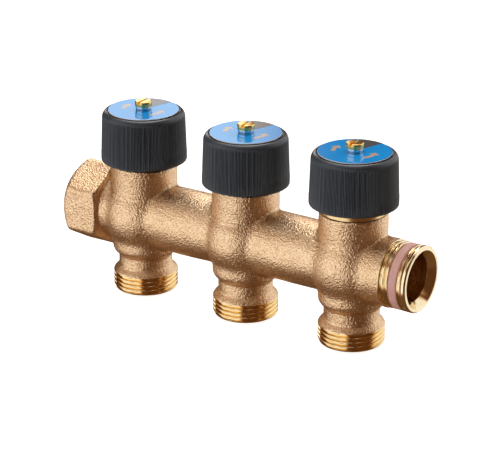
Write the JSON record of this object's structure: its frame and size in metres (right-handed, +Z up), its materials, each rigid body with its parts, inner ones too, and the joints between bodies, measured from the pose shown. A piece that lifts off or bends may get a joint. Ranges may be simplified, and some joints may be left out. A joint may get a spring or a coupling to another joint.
{
  "type": "underfloor heating manifold",
  "caption": "Cast bronze heating distributor: straight tube with hexagon inlet and male end, upright valves with ribbed handwheels, threaded outlets below.",
  "frame": {"origin": "centre of the middle outlet's end face, which is also the middle of the part's bottom", "axes": "+X from the hexagon inlet to the male end, +Z up along the valve axes, away from the outlets"},
  "size_m": [0.1616, 0.035, 0.0819],
  "materials": {
    "cast_bronze": "sand-cast, fine grain, threads and end faces machined",
    "machined_brass": "turned",
    "screw_brass": "polished",
    "plated_collar": "bright plated",
    "thread_seal": "matte, old-pink",
    "black_rubber": "matte",
    "handwheel_plastic": "anthracite, finely ribbed",
    "blue_disc": "glossy blue with a plain grey segment and two turning arrows"
  },
  "bodies": {
    "manifold": {"manifold_body": "cast_bronze", "thread_seal_ring": "thread_seal", "bonnet_1": "machined_brass", "bonnet_2": "machined_brass", "bonnet_3": "machined_brass", "bonnet_o_ring_1": "black_rubber", "bonnet_o_ring_2": "black_rubber", "bonnet_o_ring_3": "black_rubber"},
    "disc_1": {"valve_disc_1": "machined_brass", "seat_washer_1": "black_rubber", "washer_screw_1": "machined_brass"},
    "wheel_1": {"spindle_1": "machined_brass", "stem_o_ring_1": "black_rubber", "handwheel_1": "handwheel_plastic", "cover_disc_1": "blue_disc", "screw_collar_1": "plated_collar", "handwheel_screw_1": "screw_brass"},
    "disc_2": {"valve_disc_2": "machined_brass", "seat_washer_2": "black_rubber", "washer_screw_2": "machined_brass"},
    "wheel_2": {"spindle_2": "machined_brass", "stem_o_ring_2": "black_rubber", "handwheel_2": "handwheel_plastic", "cover_disc_2": "blue_disc", "screw_collar_2": "plated_collar", "handwheel_screw_2": "screw_brass"},
    "disc_3": {"valve_disc_3": "machined_brass", "seat_washer_3": "black_rubber", "washer_screw_3": "machined_brass"},
    "wheel_3": {"spindle_3": "machined_brass", "stem_o_ring_3": "black_rubber", "handwheel_3": "handwheel_plastic", "cover_disc_3": "blue_disc", "screw_collar_3": "plated_collar", "handwheel_screw_3": "screw_brass"}
  },
  "joints": [
    {"name": "valve_1_lift", "type": "slide", "parent": "manifold", "child": "disc_1", "axis": [0, 0, 1], "range_m": [-0.00075, 0.00375]},
    {"name": "valve_1_turn", "type": "hinge", "parent": "disc_1", "child": "wheel_1", "pos_m": [-0.05, 0, 0.05], "axis": [0, 0, 1], "range_deg": [-180, 900]},
    {"name": "valve_2_lift", "type": "slide", "parent": "manifold", "child": "disc_2", "axis": [0, 0, 1], "range_m": [-0.00045, 0.00405]},
    {"name": "valve_2_turn", "type": "hinge", "parent": "disc_2", "child": "wheel_2", "pos_m": [0, 0, 0.05], "axis": [0, 0, 1], "range_deg": [-108, 972]},
    {"name": "valve_3_lift", "type": "slide", "parent": "manifold", "child": "disc_3", "axis": [0, 0, 1], "range_m": [-0.00232, 0.00217]},
    {"name": "valve_3_turn", "type": "hinge", "parent": "disc_3", "child": "wheel_3", "pos_m": [0.05, 0, 0.05], "axis": [0, 0, 1], "range_deg": [-558, 522]}
  ],
  "couplings": [
    {"joint": "valve_1_turn", "follows": "valve_1_lift", "rad_per_m": 4188.8},
    {"joint": "valve_2_turn", "follows": "valve_2_lift", "rad_per_m": 4188.8},
    {"joint": "valve_3_turn", "follows": "valve_3_lift", "rad_per_m": 4188.8}
  ]
}
